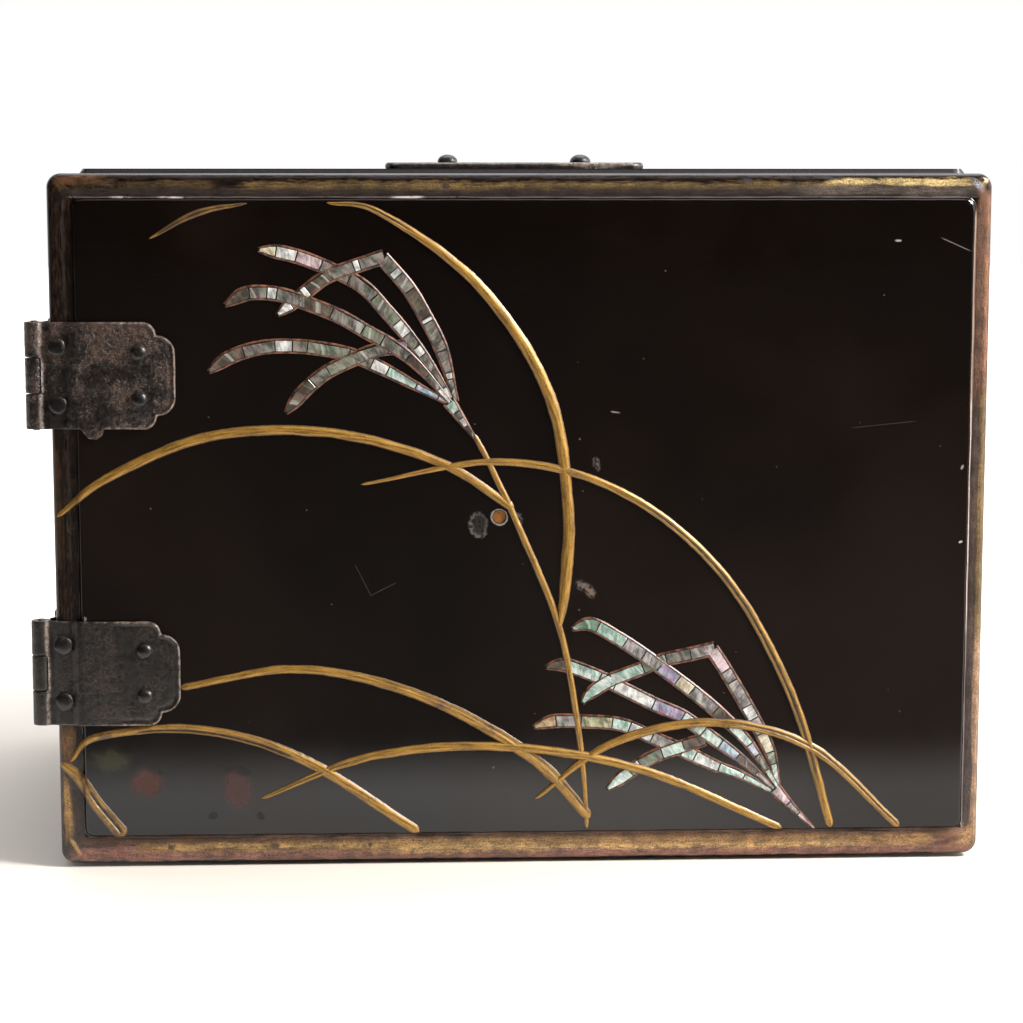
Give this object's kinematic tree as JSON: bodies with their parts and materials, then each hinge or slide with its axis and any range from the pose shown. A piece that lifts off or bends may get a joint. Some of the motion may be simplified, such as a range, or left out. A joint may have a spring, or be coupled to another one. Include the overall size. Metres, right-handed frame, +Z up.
{
  "type": "lacquer box",
  "caption": "Small lacquered wooden box with one overlay door on two iron hinges, grasses in raised gold and shell inlay on the door, and an iron plate on the top.",
  "frame": {"origin": "middle of the case's flat underside", "axes": "+X to the right of someone facing the door, +Y from the door to the back, +Z up"},
  "size_m": [0.3096, 0.209, 0.2307],
  "materials": {
    "black_lacquer": "polished black-brown lacquer on wood, worn golden brown along its borders, with raised gold grasses",
    "mother_of_pearl": "pieces of iridescent shell with brown joints",
    "wrought_iron": "dark pitted forged iron with brown rust and worn edges"
  },
  "bodies": {
    "box": {"case": "black_lacquer", "hinge_upper_case_leaf": "wrought_iron", "hinge_upper_pin": "wrought_iron", "hinge_upper_case_nail_1": "wrought_iron", "hinge_upper_case_nail_2": "wrought_iron", "hinge_upper_case_nail_3": "wrought_iron", "hinge_upper_case_nail_4": "wrought_iron", "hinge_lower_case_leaf": "wrought_iron", "hinge_lower_pin": "wrought_iron", "hinge_lower_case_nail_1": "wrought_iron", "hinge_lower_case_nail_2": "wrought_iron", "hinge_lower_case_nail_3": "wrought_iron", "hinge_lower_case_nail_4": "wrought_iron", "top_plate": "wrought_iron", "top_stud_left": "wrought_iron", "top_stud_right": "wrought_iron"},
    "door": {"door": "black_lacquer", "pearl_plume_upper": "mother_of_pearl", "pearl_plume_lower": "mother_of_pearl", "hinge_upper_door_leaf": "wrought_iron", "hinge_upper_door_nail_1": "wrought_iron", "hinge_upper_door_nail_2": "wrought_iron", "hinge_upper_door_nail_3": "wrought_iron", "hinge_upper_door_nail_4": "wrought_iron", "hinge_lower_door_leaf": "wrought_iron", "hinge_lower_door_nail_1": "wrought_iron", "hinge_lower_door_nail_2": "wrought_iron", "hinge_lower_door_nail_3": "wrought_iron", "hinge_lower_door_nail_4": "wrought_iron"}
  },
  "joints": [
    {"name": "door_swing", "type": "hinge", "parent": "box", "child": "door", "pos_m": [-0.1548, -0.1059, 0.11175], "axis": [0, 0, -1], "range_deg": [0, 240]}
  ]
}
